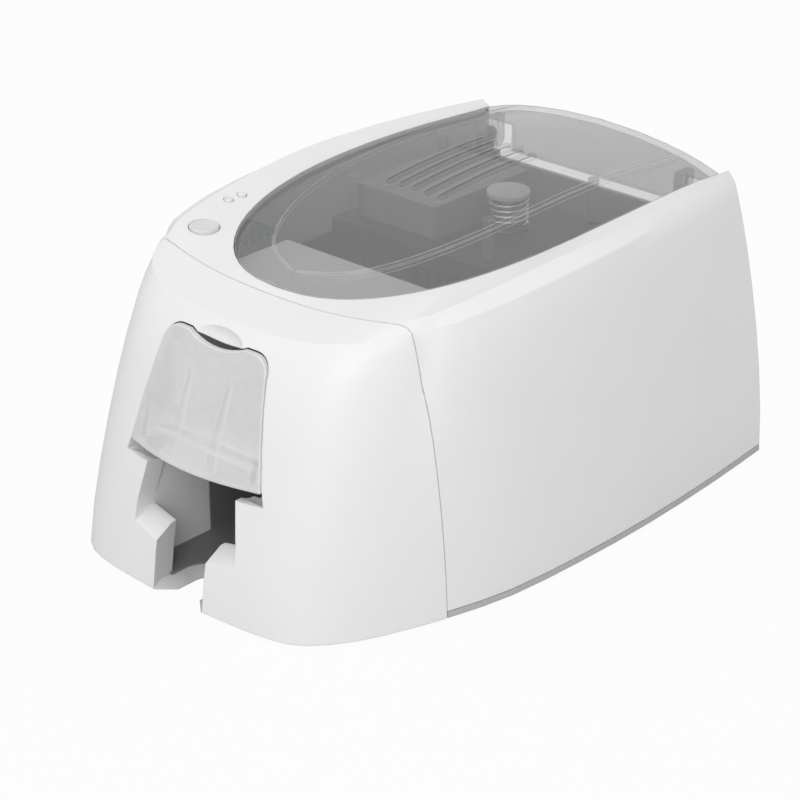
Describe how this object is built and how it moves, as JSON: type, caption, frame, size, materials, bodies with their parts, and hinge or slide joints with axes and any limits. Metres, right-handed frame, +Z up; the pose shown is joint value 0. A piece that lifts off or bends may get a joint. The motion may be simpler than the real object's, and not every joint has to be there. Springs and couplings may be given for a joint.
{
  "type": "id card printer",
  "caption": "Desktop card printer with a curved white case, a smoke hinged lid over the print head and ribbon, a front hopper flap and an open lower output bay.",
  "frame": {"origin": "on the table under the middle of the case", "axes": "+Z up, +Y towards the back panel, +X to the right as seen from the front"},
  "size_m": [0.2048, 0.2722, 0.1437],
  "materials": {
    "white_plastic": "fine moulded, satin",
    "pale_grey_plastic": "fine moulded, satin",
    "dark_plastic": "fine moulded, matt",
    "black_plastic": "smooth, glossy",
    "smoke_plastic": "clear smoke-tinted, glossy",
    "clear_plastic": "clear, pale, satin",
    "light_pipe": "translucent, polished",
    "steel": "plain zinc-plated sheet and rod",
    "aluminium": "extruded, satin",
    "brass": "turned",
    "rubber": "smooth, matt",
    "board": "lacquered circuit board",
    "ribbon": "thin glossy film"
  },
  "bodies": {
    "base": {"base_tray": "pale_grey_plastic", "rubber_feet": "rubber", "front_cover": "white_plastic", "main_housing": "white_plastic", "rear_panel": "white_plastic", "case_screws": "steel", "output_tray": "dark_plastic", "input_hopper": "pale_grey_plastic", "hopper_hood": "pale_grey_plastic", "side_frames": "steel", "tie_bars": "steel", "inner_deck": "dark_plastic", "hinge_brackets": "dark_plastic", "main_board": "board", "power_inlet": "black_plastic", "usb_socket": "steel", "drive_motor": "steel", "drive_belt": "rubber", "pick_belt": "rubber", "roller_bushes": "brass", "button_board": "board", "status_lights": "light_pipe", "switch_bezel": "black_plastic", "ribbon_film": "ribbon"},
    "lid": {"lid_shell": "smoke_plastic", "lid_hinges": "dark_plastic", "head_carrier": "dark_plastic", "spring_cap": "pale_grey_plastic", "head_spring": "steel"},
    "head": {"print_head": "aluminium"},
    "flap": {"hopper_flap": "clear_plastic", "flap_rod": "steel"},
    "button": {"control_button": "white_plastic"},
    "weight": {"card_weight": "dark_plastic"},
    "motor_shaft": {"motor_pulley": "aluminium"},
    "pick": {"pick_roller": "rubber"},
    "feed": {"feed_roller": "rubber"},
    "platen": {"platen_roller": "rubber"},
    "exit": {"exit_roller": "rubber"},
    "front_pinch": {"front_pinch_roller": "rubber"},
    "rear_pinch": {"rear_pinch_roller": "rubber"},
    "supply": {"supply_spool": "dark_plastic"},
    "takeup": {"takeup_spool": "dark_plastic"},
    "rocker": {"power_rocker": "black_plastic"}
  },
  "joints": [
    {"name": "lid_hinge", "type": "hinge", "parent": "base", "child": "lid", "pos_m": [0, 0.126, 0.1185], "axis": [-1, 0, 0], "range_deg": [0, 75]},
    {"name": "head_float", "type": "slide", "parent": "lid", "child": "head", "axis": [0, 0, 1], "range_m": [0, 0.0012], "stiffness_N_per_m": 2000, "springref_m": -0.0025, "deforming": ["head_spring"]},
    {"name": "flap_hinge", "type": "hinge", "parent": "base", "child": "flap", "pos_m": [0, -0.116, 0.0635], "axis": [1, 0, 0], "range_deg": [0, 75]},
    {"name": "button_press", "type": "slide", "parent": "base", "child": "button", "axis": [0, 0, -1], "range_m": [0, 0.0012], "stiffness_N_per_m": 400, "springref_m": -0.001},
    {"name": "weight_slide", "type": "slide", "parent": "base", "child": "weight", "axis": [0, 0, 1], "range_m": [0, 0.034]},
    {"name": "feed_spin", "type": "hinge", "parent": "base", "child": "feed", "pos_m": [0, -0.01, 0.0565], "axis": [1, 0, 0], "continuous": true},
    {"name": "motor_spin", "type": "hinge", "parent": "base", "child": "motor_shaft", "pos_m": [0, 0.008, 0.0285], "axis": [1, 0, 0], "continuous": true},
    {"name": "pick_spin", "type": "hinge", "parent": "base", "child": "pick", "pos_m": [0, -0.06, 0.0565], "axis": [1, 0, 0], "continuous": true},
    {"name": "platen_spin", "type": "hinge", "parent": "base", "child": "platen", "pos_m": [0, 0.049, 0.0565], "axis": [1, 0, 0], "continuous": true},
    {"name": "exit_spin", "type": "hinge", "parent": "base", "child": "exit", "pos_m": [0, 0.109, 0.0565], "axis": [1, 0, 0], "continuous": true},
    {"name": "front_pinch_spin", "type": "hinge", "parent": "base", "child": "front_pinch", "pos_m": [0, -0.01, 0.0679], "axis": [1, 0, 0], "continuous": true},
    {"name": "rear_pinch_spin", "type": "hinge", "parent": "base", "child": "rear_pinch", "pos_m": [0, 0.109, 0.0679], "axis": [1, 0, 0], "continuous": true},
    {"name": "supply_spin", "type": "hinge", "parent": "base", "child": "supply", "pos_m": [0, 0.091, 0.0845], "axis": [1, 0, 0], "continuous": true},
    {"name": "takeup_spin", "type": "hinge", "parent": "base", "child": "takeup", "pos_m": [0, 0, 0.0845], "axis": [1, 0, 0], "continuous": true},
    {"name": "rocker_tilt", "type": "hinge", "parent": "base", "child": "rocker", "pos_m": [-0.054, 0.129, 0.0355], "axis": [1, 0, 0], "range_deg": [-8, 8]}
  ],
  "couplings": [
    {"joint": "motor_spin", "follows": "feed_spin", "ratio": 1},
    {"joint": "pick_spin", "follows": "feed_spin", "ratio": 1},
    {"joint": "platen_spin", "follows": "feed_spin", "ratio": 1},
    {"joint": "exit_spin", "follows": "feed_spin", "ratio": 1},
    {"joint": "front_pinch_spin", "follows": "feed_spin", "ratio": -1.2},
    {"joint": "rear_pinch_spin", "follows": "feed_spin", "ratio": -1.2},
    {"joint": "takeup_spin", "follows": "supply_spin", "ratio": 1.6667}
  ]
}
